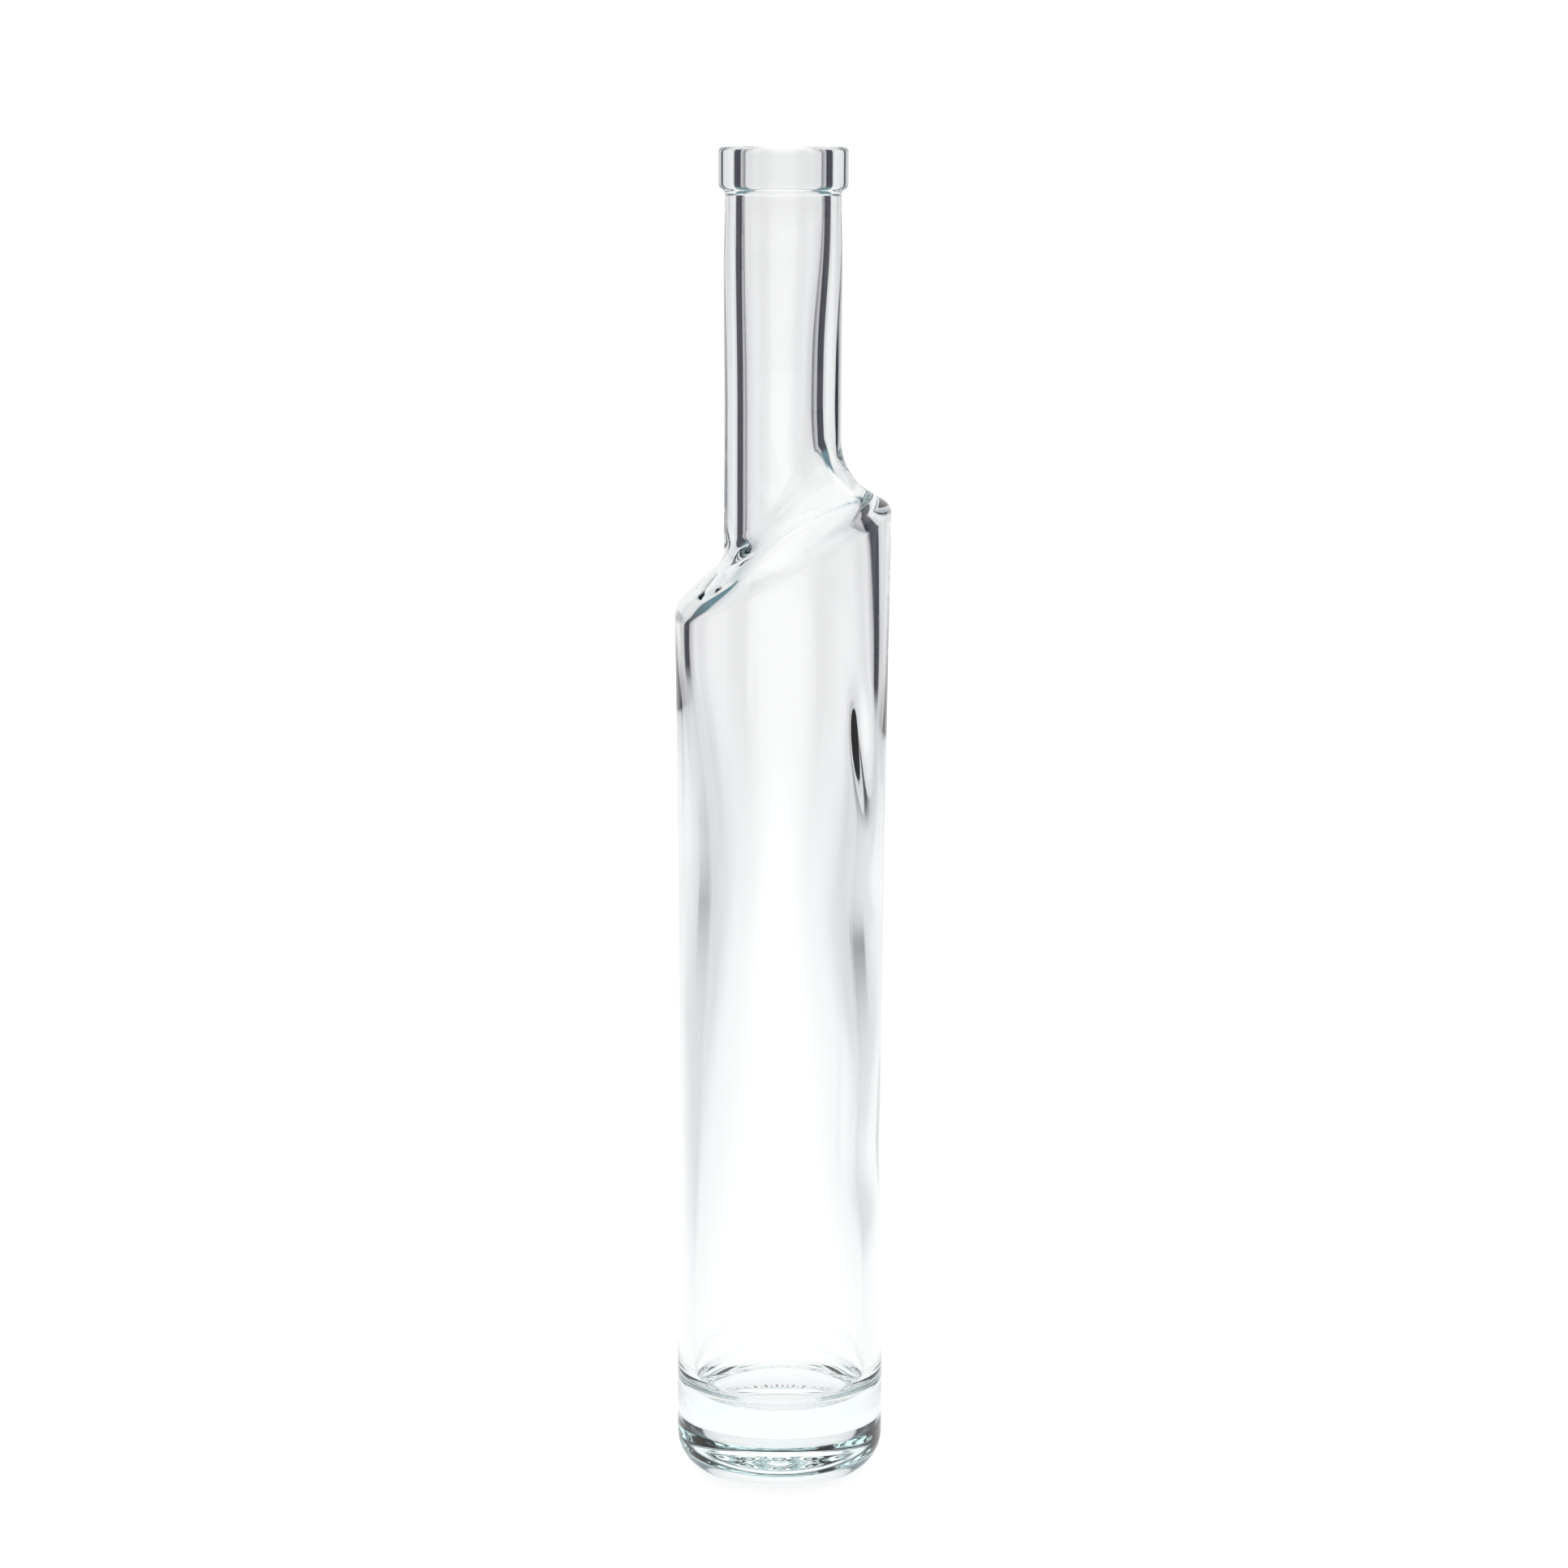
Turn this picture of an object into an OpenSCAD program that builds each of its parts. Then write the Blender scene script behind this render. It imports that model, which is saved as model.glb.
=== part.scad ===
// Slim spirit bottle in clear glass, blown in one piece: a round, slightly
// waisted body on a heavy solid base, a shoulder cut at a slant, a long
// straight neck on the body's axis and a square banded ring at the mouth.
//
// Millimetres. +Z is up along the bottle's axis, and the origin is the centre
// of the base in the plane that the bottle stands on. +X points to the high
// side of the slanted shoulder, so the front view looks along +Y.

/* [Body] */
// Height from the standing plane to the rim
height = 325; // [316:0.5:336]
// Body diameter above the heel
base_d = 50.8; // [49:0.2:53]
// Body diameter at the waist, the slimmest part of the label panel
waist_d = 49.8; // [48.6:0.2:51]
// Height of the waist
waist_z = 97; // [80:1:115]
// Body diameter under the low side of the shoulder
shoulder_d = 51.5; // [50:0.1:53]
// Radius of the rounded heel
heel_r = 9; // [6:0.5:11]
// Wall thickness of the body
wall = 3.6; // [2.8:0.1:4.4]

/* [Base] */
// Thickness of the solid glass from the standing plane to the cavity floor
base_glass = 20.5; // [16:0.5:26]
// Radius of the cavity's rounded bottom corner
floor_corner_r = 7; // [4:0.5:10]
// Mean diameter of the ring that the bottle stands on
bearing_d = 33; // [30:0.5:34]
// Width of the standing ring
bearing_w = 1.6; // [1.2:0.1:2.4]
// Height of the standing ring below the heel
bearing_h = 0.5; // [0.3:0.1:0.8]
// Depth of the hollow under the base
punt_h = 2.6; // [1.5:0.1:4]

/* [Shoulder] */
// Height where the neck starts to flare on the high side
flare_high_z = 256; // [250:0.5:260]
// Height where the neck starts to flare on the low side
flare_low_z = 230.6; // [226:0.5:236]
// Radius of the hollow flare on the high side
flare_high_r = 14; // [12:0.5:15]
// Radius of the hollow flare on the low side
flare_low_r = 7.5; // [6:0.5:9]
// Slope of the shoulder under the horizontal, high side
slope_high = 32; // [28:1:36]
// Slope of the shoulder under the horizontal, low side
slope_low = 41; // [37:1:44]
// Radius of the outer edge, high side
edge_high_r = 3.8; // [3:0.2:5]
// Radius of the outer edge, low side
edge_low_r = 8; // [6:0.5:9]

/* [Neck and mouth] */
// Diameter of the straight part of the neck
neck_d = 28; // [27.4:0.1:28.6]
// Diameter of the neck right under the ring
neck_top_d = 27.4; // [26.8:0.1:27.8]
// Diameter of the ring round the mouth
ring_d = 30.7; // [29.8:0.1:32]
// Height of the ring
ring_h = 9.8; // [8.5:0.1:11]
// Diameter of the mouth that takes a stopper
bore_d = 19.2; // [18.4:0.1:19.8]
// Length of the straight bore below the rim
bore_l = 44; // [36:1:48]
// Diameter of the passage at the foot of the neck
throat_d = 18; // [17:0.1:18.2]

/* [Hidden] */

around = 72;     // steps round the slanted shoulder
around_in = 60;  // steps round the inside of the shoulder
overlap = 0.15;  // how far the shoulder's own neck lies inside the true neck
edge_cut = 14;   // angle at which the edge's arc runs out into the body wall
top_z = 264;     // the body's round profile goes up to here, above every shoulder point

base_r = base_d / 2;
waist_r = waist_d / 2;
shoulder_r = shoulder_d / 2;
neck_r = neck_d / 2;
throat_r = throat_d / 2;
bore_r = bore_d / 2;
knee_drop = 17.3; // from the start of the flare down to the end of the edge
low_knee_z = flare_low_z - knee_drop;
high_knee_z = flare_high_z - knee_drop;

function lerp(a, b, t) = a + (b - a) * t;
function clamp01(t) = min(1, max(0, t));
function ease(t) = let (c = clamp01(t)) c * c * (3 - 2 * c);
function arc(cx, cz, r, a0, a1, n) = [for (i = [0:n]) let (a = lerp(a0, a1, i / n)) [cx + r * cos(a), cz + r * sin(a)]];

// Outside radius of the body: full at the base, slim at the waist, flaring towards the shoulder
function body_r(z) = z < waist_z
    ? lerp(waist_r, base_r, ease((waist_z - z) / (waist_z - 30)))
    : waist_r + (shoulder_r - waist_r) * pow((z - waist_z) / (low_knee_z - waist_z), 2);

// Half section of the shoulder, listed from the neck outwards and down: a hollow flare
// of radius f1 from the neck, a straight slope, and an edge of radius f2 into the wall
function shoulder_profile(rn, f1, zc, slope, f2, rb) =
    let (
        turn = 90 - slope,
        sx = rn + f1 - f1 * cos(turn),
        sz = zc - f1 * sin(turn),
        ex = rb - f2 + f2 * cos(turn),
        ez = sz - (ex - sx) * tan(slope),
        kz = ez - f2 * sin(turn),
        knee = arc(rb - f2, kz, f2, turn, edge_cut, 5)
    )
    concat(
        [[rn, zc + 3]],
        [for (i = [0:7]) let (t = turn * i / 7) [rn + f1 - f1 * cos(t), zc - f1 * sin(t)]],
        knee,
        [[knee[5][0] + 12 * sin(edge_cut), knee[5][1] - 12 * cos(edge_cut)]]
    );

// A solid under a shoulder whose section turns from one profile on the +X side
// to another on the -X side. Its side wall stands outside the body.
module shoulder_solid(high, low, foot_z, n) {
    m = len(high) + 1;
    rows = concat([for (k = [0:m - 2]) [(high[k] + low[k]) / 2, (high[k] - low[k]) / 2]],
                  [[[high[m - 2][0] + 4, foot_z], [0, 0]]]);
    pts = [for (row = rows) for (j = [0:n - 1])
        let (a = 360 * j / n, p = row[0] + row[1] * cos(a)) [p[0] * cos(a), p[0] * sin(a), p[1]]];
    // the grid of vertices runs down the rows and round the axis
    sides = [for (k = [0:m - 2]) for (j = [0:n - 1])
        let (a = k * n + j, b = k * n + (j + 1) % n, c = a + n, d = b + n)
        each [[a, b, d], [a, d, c]]];
    polyhedron(points = pts, faces = concat(sides, [[for (j = [n - 1:-1:0]) j]], [[for (j = [0:n - 1]) (m - 1) * n + j]]), convexity = 4);
}

// Solid of revolution of the body's outside, from the standing ring up past the shoulder
module body_outside() {
    hz = bearing_h + heel_r;
    b_in = (bearing_d - bearing_w) / 2;
    b_out = (bearing_d + bearing_w) / 2;
    heel_start = asin((b_out + 0.2 - base_r + heel_r) / heel_r) - 90;
    punt_r = (pow(b_in - 0.2, 2) + pow(punt_h - bearing_h, 2)) / (2 * (punt_h - bearing_h));
    punt_a = asin((b_in - 0.2) / punt_r);
    heel = arc(base_r - heel_r, hz, heel_r, heel_start, 0, 9);
    rotate_extrude($fn = 96) polygon(concat(
        [for (i = [0:6]) let (a = punt_a * i / 6) [punt_r * sin(a), punt_h - punt_r * (1 - cos(a))]],
        [[b_in, 0], [b_out, 0]],
        heel,
        [for (i = [1:20]) let (z = lerp(hz, top_z, i / 20)) [body_r(z), z]],
        [[0, top_z]]
    ));
}

// The hollow of the body, before the shoulder closes over it
module body_hollow() {
    r0 = body_r(base_glass) - wall;
    z0 = base_glass + floor_corner_r;
    corner = arc(r0 - floor_corner_r, z0, floor_corner_r, -90, 0, 8);
    rotate_extrude($fn = 96) polygon(concat(
        [[0, base_glass]],
        corner,
        [for (i = [1:20]) let (z = lerp(z0, top_z, i / 20)) [body_r(z) - wall, z]],
        [[0, top_z]]
    ));
}

// Neck and ring as one true turned shape, reaching down into the shoulder
module neck_outside() {
    ring_r = ring_d / 2;
    zr = height - ring_h;
    rotate_extrude($fn = 96) polygon(concat(
        [[0, flare_low_z - 9], [neck_r, flare_low_z - 9], [neck_r, zr - 15], [neck_top_d / 2, zr - 1.2],
         [neck_top_d / 2 + 0.3, zr - 0.4], [ring_r - 0.6, zr], [ring_r, zr + 0.9]],
        arc(ring_r - 1.1, height - 1.1, 1.1, 0, 90, 5),
        [[0, height]]
    ));
}

// The way in: a rounded lip, a true straight bore for the stopper, and a
// passage that narrows a little towards the foot of the neck
module neck_hollow() {
    foot_z = flare_low_z - 6;
    rotate_extrude($fn = 96) polygon(concat(
        [[0, foot_z], [throat_r, foot_z], [throat_r + 0.08, flare_high_z - 2], [bore_r, height - bore_l]],
        [for (i = [0:4]) let (a = 90 * i / 4) [bore_r + 1 - cos(a), height - 1 + sin(a)]],
        [[bore_r + 1, height + 1], [0, height + 1]]
    ));
}

module bottle() {
    out_rn = neck_r - overlap;
    in_rn = throat_r - overlap;
    gap = out_rn - in_rn;
    lift = 1.2; // the shoulder's glass is this much thinner than the neck's
    color([0.86, 0.93, 0.92, 0.4])
    difference() {
        union() {
            intersection() {
                body_outside();
                shoulder_solid(
                    shoulder_profile(out_rn, flare_high_r, flare_high_z, slope_high, edge_high_r, body_r(high_knee_z)),
                    shoulder_profile(out_rn, flare_low_r, flare_low_z, slope_low, edge_low_r, body_r(low_knee_z)),
                    -4, around);
            }
            neck_outside();
        }
        intersection() {
            body_hollow();
            shoulder_solid(
                shoulder_profile(in_rn, flare_high_r + gap, flare_high_z + lift, slope_high, 3, body_r(high_knee_z) - wall),
                shoulder_profile(in_rn, flare_low_r + gap, flare_low_z + lift, slope_low, 5, body_r(low_knee_z) - wall),
                -4, around_in);
        }
        neck_hollow();
    }
}

bottle();
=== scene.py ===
# Slim clear glass spirit bottle with a slanted shoulder: the visual model.
# Metres in Blender; the shape's own numbers below are in millimetres.
import math

import bpy
import numpy as np
from mathutils import Matrix, Vector


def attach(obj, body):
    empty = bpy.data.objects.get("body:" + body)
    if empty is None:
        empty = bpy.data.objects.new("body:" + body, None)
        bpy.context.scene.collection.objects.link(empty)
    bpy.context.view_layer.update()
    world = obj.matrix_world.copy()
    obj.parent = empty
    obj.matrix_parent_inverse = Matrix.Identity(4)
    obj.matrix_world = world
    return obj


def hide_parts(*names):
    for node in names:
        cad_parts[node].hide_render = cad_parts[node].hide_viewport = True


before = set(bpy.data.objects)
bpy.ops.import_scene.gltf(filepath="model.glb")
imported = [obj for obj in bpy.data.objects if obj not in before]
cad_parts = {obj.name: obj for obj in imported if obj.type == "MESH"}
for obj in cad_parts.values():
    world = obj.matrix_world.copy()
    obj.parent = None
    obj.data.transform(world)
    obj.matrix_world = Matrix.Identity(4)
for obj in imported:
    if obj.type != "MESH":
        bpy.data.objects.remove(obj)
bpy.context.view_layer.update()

# ---------------------------------------------------------------- camera
# Solved from the bottle's outline in a 1932 x 1932 picture: level with the
# rim, about 0.9 m away, looking down at the base.
PICTURE = 1932
FOCAL_PX = 4601.0
CAM_DISTANCE = 0.890
CAM_HEIGHT = 0.3333
CAM_TILT = math.radians(10.221)
CAM_ROLL = math.radians(0.19)
CAM_SIDE = 0.0006


def make_camera():
    data = bpy.data.cameras.new("view_camera")
    data.sensor_width = 36.0
    data.lens = FOCAL_PX * 36.0 / PICTURE
    data.clip_start = 0.05
    data.clip_end = 60.0
    cam = bpy.data.objects.new("view_camera", data)
    bpy.context.scene.collection.objects.link(cam)
    look = Matrix.Rotation(math.radians(90.0) - CAM_TILT, 4, "X")
    roll = Matrix.Rotation(CAM_ROLL, 4, "Z")
    cam.matrix_world = Matrix.Translation((CAM_SIDE, -CAM_DISTANCE, CAM_HEIGHT)) @ look @ roll
    bpy.context.scene.camera = cam
    return cam


make_camera()

# ---------------------------------------------------------------- outline
HEIGHT = 325.0
BASE_R, WAIST_R, SHOULDER_R, WAIST_Z = 25.4, 24.9, 25.75, 97.0
HEEL_R, BEAR_H = 9.0, 0.5
NECK_R, NECK_TOP_R, RING_R, RING_H = 14.0, 13.7, 15.35, 9.8
BORE_R = 9.6
AROUND = 288
KNURLS = 36


def smooth(t):
    t = np.clip(t, 0.0, 1.0)
    return t * t * (3.0 - 2.0 * t)


def bump(x, centre, below, above):
    """A soft hill that is 1 at its centre and fades over below and above."""
    d = np.where(x < centre, (x - centre) / below, (x - centre) / above)
    return np.exp(-d * d)


def turn(phi, centre, width):
    """The same round the axis, in degrees."""
    d = (np.degrees(phi) - centre + 180.0) % 360.0 - 180.0
    return np.exp(-((d / width) ** 2))


def body_r(z):
    z = np.asarray(z, float)
    low = WAIST_R + (BASE_R - WAIST_R) * smooth((WAIST_Z - z) / (WAIST_Z - 30.0))
    high = WAIST_R + (SHOULDER_R - WAIST_R) * ((z - WAIST_Z) / (213.3 - WAIST_Z)) ** 2
    return np.where(z < WAIST_Z, low, high)


def shoulder(rn, f1, zc, slope, f2, kz_guess, wall, counts):
    """Half section from the body wall up and in to the neck: edge arc, slope,
    hollow flare. Returned from the wall upwards."""
    n_edge, n_slope, n_flare = counts
    a = math.radians(slope)
    te = math.pi / 2 - a
    rb = float(body_r(kz_guess)) - wall
    sx, sz = rn + f1 - f1 * math.cos(te), zc - f1 * math.sin(te)
    ex = rb - f2 + f2 * math.cos(te)
    ez = sz - (ex - sx) * math.tan(a)
    kz = ez - f2 * math.sin(te)
    pts = []
    for i in range(n_edge + 1):
        t = te * i / n_edge
        pts.append((rb - f2 + f2 * math.cos(t), kz + f2 * math.sin(t)))
    for i in range(1, n_slope + 1):
        t = i / n_slope
        pts.append((ex + (sx - ex) * t, ez + (sz - ez) * t))
    for i in range(1, n_flare + 1):
        t = te * (1 - i / n_flare)
        pts.append((rn + f1 - f1 * math.cos(t), zc - f1 * math.sin(t)))
    return np.array(pts)


phi = np.arange(AROUND) * 2.0 * math.pi / AROUND
cosphi = np.cos(phi)
rings = []  # each is (radius per azimuth, height per azimuth)


def add(r, z):
    rings.append((np.broadcast_to(np.asarray(r, float), (AROUND,)).copy(),
                  np.broadcast_to(np.asarray(z, float), (AROUND,)).copy()))


# -- under the base: hollow, stippled standing ring, heel
PUNT_H, PUNT_END = 2.6, 14.6
punt_sphere = (PUNT_END**2 + (PUNT_H - BEAR_H) ** 2) / (2 * (PUNT_H - BEAR_H))


def under_z(r):
    r = np.asarray(r, float)
    punt = PUNT_H - punt_sphere + np.sqrt(np.maximum(punt_sphere**2 - r * r, 0.0))
    heel = BEAR_H + HEEL_R - np.sqrt(np.maximum(HEEL_R**2 - np.maximum(r - (BASE_R - HEEL_R), 0.0) ** 2, 0.0))
    return np.where(r < PUNT_END, punt, heel)


def knurl(r):
    """Short rounded stipples, 36 round the ring, their tips in the standing plane."""
    wave = 0.5 + 0.5 * np.cos(KNURLS * phi)
    tooth = smooth((wave - 0.18) / 0.62)
    band = smooth((r - 14.9) / 0.9) * (1.0 - smooth((r - 17.5) / 1.1))
    return (BEAR_H + 0.0) * tooth * band


for r in np.concatenate([np.linspace(0.6, 14.2, 16), np.linspace(14.6, 19.0, 19)]):
    add(r, under_z(r) - knurl(r))
a0 = math.acos((19.0 - (BASE_R - HEEL_R)) / HEEL_R)
for a in np.linspace(a0, 0.0, 16)[1:]:
    add(BASE_R - HEEL_R + HEEL_R * math.cos(a), BEAR_H + HEEL_R - HEEL_R * math.sin(a))

# -- body wall
for z in np.linspace(9.5, 196.0, 64)[1:]:
    add(body_r(z), z)

# -- slanted shoulder: the section turns from one side to the other
counts = (12, 8, 18)
hi = shoulder(NECK_R, 14.0, 256.0, 32.0, 3.8, 238.7, 0.0, counts)
lo = shoulder(NECK_R, 7.5, 230.6, 41.0, 8.0, 213.3, 0.0, counts)


def blend(h, l):
    mean, diff = (h + l) / 2, (h - l) / 2
    return mean[0] + diff[0] * cosphi, mean[1] + diff[1] * cosphi


kr, kz = blend(hi[0], lo[0])
for t in np.linspace(0, 1, 13)[1:-1]:
    z = 196.0 + (kz - 196.0) * t
    add(body_r(z) + (kr - body_r(kz)) * t * t, z)
for h, l in zip(hi, lo):
    add(*blend(h, l))

# -- neck, ring and lip
nr, nz = blend(hi[-1], lo[-1])
Z_UNDER = HEIGHT - RING_H
for t in np.linspace(0, 1, 19)[1:]:
    add(NECK_R, nz + (299.0 - nz) * t)
for z in np.linspace(300.5, 313.6, 16):
    seam = 0.09 * math.exp(-(((z - 311.9) / 0.28) ** 2))
    add(NECK_R + (NECK_TOP_R - NECK_R) * float(smooth((z - 299.0) / 13.5)) + seam, z)
for r, z in [(13.75, 314.1), (13.9, 314.5), (14.2, 314.85), (14.6, 315.1), (14.95, 315.4), (15.2, 315.8), (15.32, 316.3)]:
    add(r, z)
for z in np.linspace(316.9, 323.4, 12):
    add(RING_R, z)
for a in np.linspace(0, math.pi / 2, 9):
    add(RING_R - 1.25 + 1.25 * math.cos(a), HEIGHT - 1.25 + 1.25 * math.sin(a))
for r in (13.3, 12.4, 11.5):
    add(r, HEIGHT)
for a in np.linspace(math.pi / 2, 0, 8):
    add(BORE_R + 1.0 - 1.0 * math.cos(a), HEIGHT - 1.0 + 1.0 * math.sin(a))

# -- inside of the neck
THROAT_R = 9.0
inner_counts = (12, 8, 18)
GAP = NECK_R - THROAT_R
WALL = 3.6
ihi = shoulder(THROAT_R, 17.0, 257.5, 38.0, 7.0, 236.0, WALL + 1.6, inner_counts)
ilo = shoulder(THROAT_R, 7.5 + GAP, 231.8, 41.0, 6.0, 213.0, WALL, inner_counts)
tr, tz = blend(ihi[-1], ilo[-1])


def bore_shift(z):
    """The blown bore drifts a little off its axis, away from the high side."""
    return 0.95 * smooth((310.0 - z) / 34.0) * smooth((z - 236.0) / 30.0) * turn(phi, 0.0, 65.0)


for z in np.linspace(323.0, 262.0, 40):
    t = float(smooth((z - 262.0) / (305.0 - 262.0)))
    add(THROAT_R + (BORE_R - THROAT_R) * t - bore_shift(z), z)
for t in np.linspace(0, 1, 14)[1:]:
    z = 262.0 + (tz - 262.0) * t
    add(THROAT_R - bore_shift(z), z)

# -- inside of the shoulder
for h, l in zip(ihi[::-1][1:], ilo[::-1][1:]):
    r, z = blend(h, l)
    add(r - bore_shift(z), z)


# -- inside of the body
def along(z, table):
    zs, ws = zip(*table)
    fine = np.interp(z, zs, ws)
    for step in (3.0, 6.0):
        fine = fine + np.interp(z - step, zs, ws) + np.interp(z + step, zs, ws)
    return fine / 5.0


LEFT_WALL = [(20, 4.2), (60, 4.4), (110, 4.9), (140, 5.6), (154, 5.9), (172, 5.5), (183, 4.8), (200, 3.6), (206, 3.3), (240, 3.6)]
RIGHT_WALL = [(20, 4.2), (60, 4.3), (78, 5.4), (88, 5.0), (107, 4.9), (125, 5.6), (144, 6.4), (154, 6.0), (176, 5.0), (192, 3.9), (204, 3.6), (240, 3.8)]


def wall(z):
    """Blown glass: thick where the gob ran down the two sides, with soft ridges."""
    base = 4.1 + 0.10 * np.sin(3 * phi + 0.03 * z)
    w = base
    w = w + turn(phi, 180.0, 55.0) * (along(z, LEFT_WALL) - 4.1)
    w = w + turn(phi, 0.0, 55.0) * (along(z, RIGHT_WALL) - 4.1)
    w = w + 1.1 * turn(phi, -34.0 - (z - 186.0) * 0.45, 8.0) * bump(z, 186.0, 14.0, 12.0)
    w = w + 0.8 * turn(phi, 28.0, 7.0) * bump(z, 82.0, 10.0, 20.0)
    fade = smooth((z - (FLOOR_Z + 4.0)) / 20.0)
    return 4.1 + (w - 4.1) * fade


FLOOR_Z, CORNER_R = 20.5, 7.0
ikr, ikz = blend(ihi[0], ilo[0])
for t in np.linspace(0, 1, 22)[1:]:
    z = ikz + (190.0 - ikz) * t
    want = body_r(z) - wall(z)
    add(want + (ikr - (body_r(ikz) - wall(ikz))) * (1 - t) ** 2, z)
for z in np.linspace(190.0, FLOOR_Z + CORNER_R, 90)[1:]:
    add(body_r(z) - wall(z), z)
rc = float(body_r(FLOOR_Z + CORNER_R)) - 4.1
for a in np.linspace(0, math.pi / 2, 15)[1:]:
    add(rc - CORNER_R + CORNER_R * math.cos(a), FLOOR_Z + CORNER_R - CORNER_R * math.sin(a))
for r in np.linspace(rc - CORNER_R, 0.6, 12)[1:]:
    add(r, FLOOR_Z)

# ---------------------------------------------------------------- mesh
R = np.array([r for r, _ in rings])
Z = np.array([z for _, z in rings])
n_rings = len(rings)
verts = np.stack([R * np.cos(phi), R * np.sin(phi), Z], axis=-1).reshape(-1, 3)
first_pole = [0.0, 0.0, PUNT_H]
last_pole = [0.0, 0.0, FLOOR_Z]
verts = np.vstack([verts, [first_pole, last_pole]]) / 1000.0
k = np.arange(n_rings - 1)[:, None] * AROUND
j = np.arange(AROUND)[None, :]
jn = (j + 1) % AROUND
quads = np.stack([k + j, k + jn, k + AROUND + jn, k + AROUND + j], axis=-1).reshape(-1, 4)
p0, p1 = n_rings * AROUND, n_rings * AROUND + 1
j = np.arange(AROUND)
jn = (j + 1) % AROUND
caps0 = np.stack([np.full(AROUND, p0), jn, j], axis=-1)
base = (n_rings - 1) * AROUND
caps1 = np.stack([np.full(AROUND, p1), base + j, base + jn], axis=-1)
faces = [tuple(int(v) for v in q) for q in quads] + [tuple(int(v) for v in t) for t in np.vstack([caps0, caps1])]
mesh = bpy.data.meshes.new("glass_bottle")
mesh.from_pydata([tuple(v) for v in verts], [], faces)
mesh.validate()
mesh.polygons.foreach_set("use_smooth", [True] * len(mesh.polygons))
mesh.update()
bottle = bpy.data.objects.new("glass_bottle", mesh)
bpy.context.scene.collection.objects.link(bottle)

# ---------------------------------------------------------------- glass
glass = bpy.data.materials.new("clear_flint_glass")
glass.use_nodes = True
nt = glass.node_tree
nt.nodes.clear()
out = nt.nodes.new("ShaderNodeOutputMaterial")
shader = nt.nodes.new("ShaderNodeBsdfPrincipled")
shader.inputs["Base Color"].default_value = (1.0, 1.0, 1.0, 1.0)
shader.inputs["Roughness"].default_value = 0.0
shader.inputs["IOR"].default_value = 1.52
shader.inputs["Transmission Weight"].default_value = 1.0
nt.links.new(shader.outputs["BSDF"], out.inputs["Surface"])
absorb = nt.nodes.new("ShaderNodeVolumeAbsorption")
absorb.inputs["Color"].default_value = (0.35, 0.80, 0.82, 1.0)
absorb.inputs["Density"].default_value = 2.0
nt.links.new(absorb.outputs["Volume"], out.inputs["Volume"])
bottle.data.materials.append(glass)

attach(bottle, "root")
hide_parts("bottle")

# ---------------------------------------------------------------- studio
scene = bpy.context.scene
scene.view_settings.view_transform = "Standard"
world = bpy.data.worlds.new("studio")
scene.world = world
world.use_nodes = True
wt = world.node_tree
wt.nodes.clear()


def node(kind, **props):
    n = wt.nodes.new(kind)
    for key, value in props.items():
        setattr(n, key, value)
    return n


def math_node(operation, a, b=None):  # MULTIPLY_ADD leaves its last input at 0.5
    n = node("ShaderNodeMath", operation=operation)
    for socket, value in zip(n.inputs, (a, b)):
        if value is None:
            continue
        if isinstance(value, (int, float)):
            socket.default_value = value
        else:
            wt.links.new(value, socket)
    return n.outputs[0]


coord = node("ShaderNodeTexCoord")
split = node("ShaderNodeSeparateXYZ")
wt.links.new(coord.outputs["Generated"], split.inputs[0])
dx, dy, dz = split.outputs
# azimuth from the nearer of +Y and -Y, 0 to 90 degrees
ax, ay = math_node("ABSOLUTE", dx), math_node("ABSOLUTE", dy)
fold = math_node("DIVIDE", math_node("ARCTAN2", ax, ay), math.radians(90.0))
elev = math_node("DIVIDE", math_node("ARCSINE", dz), math.radians(90.0))


def ramp(socket, stops):
    r = node("ShaderNodeValToRGB")
    r.color_ramp.interpolation = "EASE"
    els = r.color_ramp.elements
    els[0].position, els[0].color = stops[0][0], (*stops[0][1], 1.0)
    els[1].position, els[1].color = stops[-1][0], (*stops[-1][1], 1.0)
    for pos, col in stops[1:-1]:
        e = els.new(pos)
        e.color = (*col, 1.0)
    wt.links.new(socket, r.inputs[0])
    return r.outputs[0]


# Painted reflections: navy and teal bands are painted into the world by azimuth and height. The glass shows them as
# dark streaks; the camera never sees them.
NAVY, TEAL = (0.006, 0.006, 0.024), (0.09, 0.20, 0.24)
level = ramp(fold, [(0.0, (0.93, 0.93, 0.935)), (0.27, (0.88, 0.88, 0.885)), (0.39, (0.72, 0.72, 0.74)), (0.43, NAVY),
                    (0.67, NAVY), (0.72, (0.50, 0.50, 0.52)), (1.0, (0.58, 0.58, 0.59))])
above = ramp(fold, [(0.0, (1.0, 1.0, 1.0)), (0.27, (0.95, 0.95, 0.95)), (0.37, (0.76, 0.78, 0.80)), (0.42, TEAL),
                    (0.90, TEAL), (1.0, (0.5, 0.55, 0.58))])
lift_teal = ramp(elev, [(0.0, (0.0, 0.0, 0.0)), (0.10, (0.0, 0.0, 0.0)), (0.22, (1.0, 1.0, 1.0)), (1.0, (1.0, 1.0, 1.0))])
lift_white = ramp(elev, [(0.0, (0.0, 0.0, 0.0)), (0.36, (0.0, 0.0, 0.0)), (0.46, (1.0, 1.0, 1.0)), (1.0, (1.0, 1.0, 1.0))])


def blend_node(factor, a, b):
    m = node("ShaderNodeMix", data_type="RGBA")
    wt.links.new(factor, m.inputs["Factor"])
    wt.links.new(a, m.inputs[6])
    if isinstance(b, tuple):
        m.inputs[7].default_value = (*b, 1.0)
    else:
        wt.links.new(b, m.inputs[7])
    return m


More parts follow.
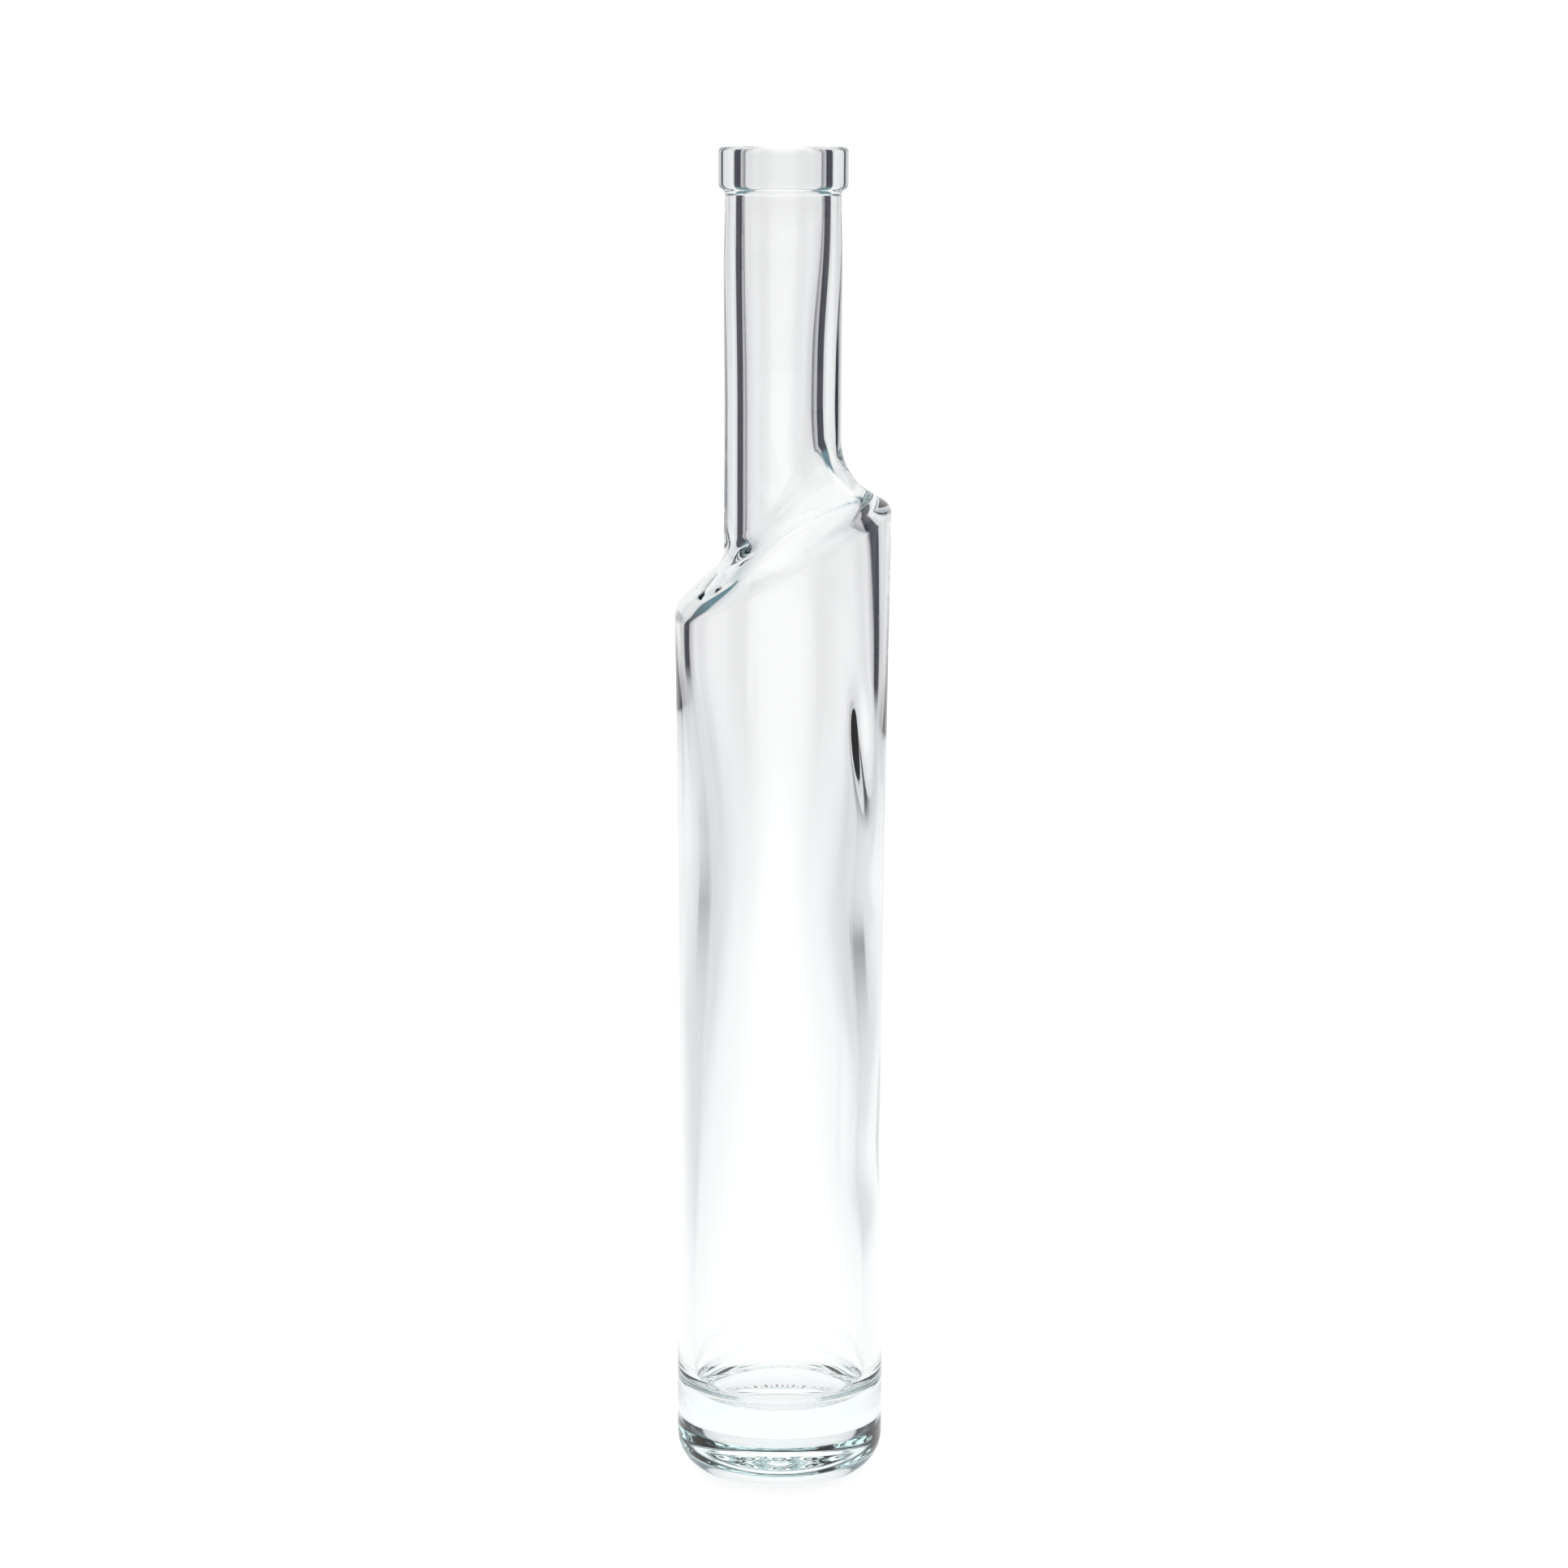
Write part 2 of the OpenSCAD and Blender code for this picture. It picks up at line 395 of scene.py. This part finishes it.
below = ramp(fold, [(0.0, (1.16, 1.16, 1.16)), (0.27, (1.06, 1.06, 1.06)), (0.37, (0.76, 0.76, 0.78)), (0.405, NAVY),
                    (0.73, NAVY), (0.78, (0.66, 0.66, 0.68)), (1.0, (0.74, 0.74, 0.75))])
sink = ramp(math_node("MULTIPLY", elev, -1.0), [(0.0, (0.0, 0.0, 0.0)), (0.02, (0.0, 0.0, 0.0)), (0.125, (1.0, 1.0, 1.0)), (1.0, (1.0, 1.0, 1.0))])
painted_reflection_bands = blend_node(lift_teal, blend_node(sink, level, below).outputs[2], above).outputs[2]
# Painted shade: for rays seen in the glass, the world toward -Y (behind the camera) is dimmed to half.
painted_shade_camera_side = ramp(math_node("MULTIPLY_ADD", dy, 0.5), [(0.0, (0.5, 0.5, 0.5)), (0.35, (0.5, 0.5, 0.5)), (0.6, (1.0, 1.0, 1.0)), (1.0, (1.0, 1.0, 1.0))])
dim = node("ShaderNodeMix", data_type="RGBA", blend_type="MULTIPLY")
dim.inputs["Factor"].default_value = 1.0
wt.links.new(painted_reflection_bands, dim.inputs[6])
wt.links.new(painted_shade_camera_side, dim.inputs[7])
# Painted highlight: for rays seen in the glass, the world above about 40 degrees is a bright 1.15.
mix = blend_node(lift_white, dim.outputs[2], (1.15, 1.15, 1.15))
painted_reflection_world = node("ShaderNodeBackground")
wt.links.new(mix.outputs[2], painted_reflection_world.inputs["Color"])
painted_reflection_world.inputs["Strength"].default_value = 1.0
plain = node("ShaderNodeBackground")
plain.inputs["Color"].default_value = (1.0, 1.0, 1.0, 1.0)
plain.inputs["Strength"].default_value = 1.02
# Camera rays see plain white. Every other ray, through or off the glass, sees the painted reflection world.
path = node("ShaderNodeLightPath")
pick = node("ShaderNodeMixShader")
wt.links.new(path.outputs["Is Camera Ray"], pick.inputs["Fac"])
wt.links.new(painted_reflection_world.outputs[0], pick.inputs[1])
wt.links.new(plain.outputs[0], pick.inputs[2])
world_out = node("ShaderNodeOutputWorld")
wt.links.new(pick.outputs[0], world_out.inputs["Surface"])
scene.cycles.max_bounces = 32
scene.cycles.transmission_bounces = 32
scene.cycles.glossy_bounces = 16
scene.cycles.diffuse_bounces = 4


def plain_material(name, colour, roughness=1.0, emission=None, strength=0.0):
    m = bpy.data.materials.new(name)
    m.use_nodes = True
    s = m.node_tree.nodes["Principled BSDF"]
    s.inputs["Base Color"].default_value = (*colour, 1.0)
    s.inputs["Roughness"].default_value = roughness
    s.inputs["Specular IOR Level"].default_value = 0.0
    if emission is not None:
        s.inputs["Emission Color"].default_value = (*emission, 1.0)
        s.inputs["Emission Strength"].default_value = strength
    return m


def quad(name, corners, material):
    m = bpy.data.meshes.new(name)
    m.from_pydata(corners, [], [tuple(range(len(corners)))])
    o = bpy.data.objects.new(name, m)
    o.data.materials.append(material)
    bpy.context.scene.collection.objects.link(o)
    return o


FLOOR_R = 4.0
floor_painted_light = plain_material("pale_floor_painted_glow", (0.38, 0.38, 0.38))
ft = floor_painted_light.node_tree


def floor_math(operation, a, b=None):
    n = ft.nodes.new("ShaderNodeMath")
    n.operation = operation
    ft.links.new(a, n.inputs[0])
    if b is not None:
        if isinstance(b, float):
            n.inputs[1].default_value = b
        else:
            ft.links.new(b, n.inputs[1])
    return n.outputs[0]


def floor_ramp(socket, stops):
    r = ft.nodes.new("ShaderNodeValToRGB")
    r.color_ramp.interpolation = "EASE"
    els = r.color_ramp.elements
    els[0].position, els[0].color = stops[0][0], (*stops[0][1], 1.0)
    els[1].position, els[1].color = stops[-1][0], (*stops[-1][1], 1.0)
    for pos, col in stops[1:-1]:
        e = els.new(pos)
        e.color = (*col, 1.0)
    ft.links.new(socket, r.inputs[0])
    return r.outputs[0]


def floor_mix(factor, a, b):
    m = ft.nodes.new("ShaderNodeMix")
    m.data_type = "RGBA"
    ft.links.new(factor, m.inputs["Factor"])
    for socket, value in ((m.inputs[6], a), (m.inputs[7], b)):
        if isinstance(value, tuple):
            socket.default_value = (*value, 1.0)
        else:
            ft.links.new(value, socket)
    return m.outputs[2]


geo = ft.nodes.new("ShaderNodeNewGeometry")
xyz = ft.nodes.new("ShaderNodeSeparateXYZ")
ft.links.new(geo.outputs["Position"], xyz.inputs[0])
fx, fy = floor_math("ABSOLUTE", xyz.outputs[0]), floor_math("ABSOLUTE", xyz.outputs[1])
bearing = floor_math("DIVIDE", floor_math("ARCTAN2", fx, fy), math.radians(90.0))
reach = floor_math("SQRT", floor_math("ADD", floor_math("MULTIPLY", fx, fx), floor_math("MULTIPLY", fy, fy)))
# Painted light, seen only through the glass. Within about 0.6 m the floor glows as a strip that is brightest along x
# = 0 and fades sideways. Past about 1 m it glows by bearing, with navy dark bands as a painted reflection of a dark
# room.
outer = floor_ramp(floor_math("DIVIDE", reach, 2.0), [(0.0, (0.0, 0.0, 0.0)), (0.29, (0.0, 0.0, 0.0)), (0.52, (1.0, 1.0, 1.0)), (1.0, (1.0, 1.0, 1.0))])
near_glow = floor_ramp(fx, [(0.0, (0.76, 0.76, 0.76)), (0.10, (0.66, 0.66, 0.665)), (0.28, (0.42, 0.42, 0.435)), (0.70, (0.30, 0.30, 0.32))])
far_glow = floor_ramp(bearing, [(0.0, (0.96, 0.96, 0.965)), (0.22, (0.90, 0.90, 0.91)), (0.39, (0.68, 0.68, 0.70)), (0.44, (0.004, 0.004, 0.02)),
                                (0.67, (0.004, 0.004, 0.02)), (0.72, (0.50, 0.50, 0.52)), (1.0, (0.58, 0.58, 0.59))])
seen = ft.nodes.new("ShaderNodeLightPath").outputs["Is Camera Ray"]
# Camera rays see an even glow of 0.82 instead.
glow = floor_mix(seen, floor_mix(outer, near_glow, far_glow), (0.82, 0.82, 0.82))
# Base colour: an even pale 0.38 for camera rays. Through the glass, past about 1 m, it is painted near-black (0.01),
# a painted dark floor.
tone = floor_mix(seen, floor_mix(outer, (0.38, 0.38, 0.38), (0.01, 0.01, 0.01)), (0.38, 0.38, 0.38))
surface = ft.nodes["Principled BSDF"]
ft.links.new(glow, surface.inputs["Emission Color"])
ft.links.new(tone, surface.inputs["Base Color"])
surface.inputs["Emission Strength"].default_value = 1.0
floor = quad("floor", [(FLOOR_R * math.cos(2 * math.pi * i / 96), FLOOR_R * math.sin(2 * math.pi * i / 96), 0.0) for i in range(96)],
             floor_painted_light)
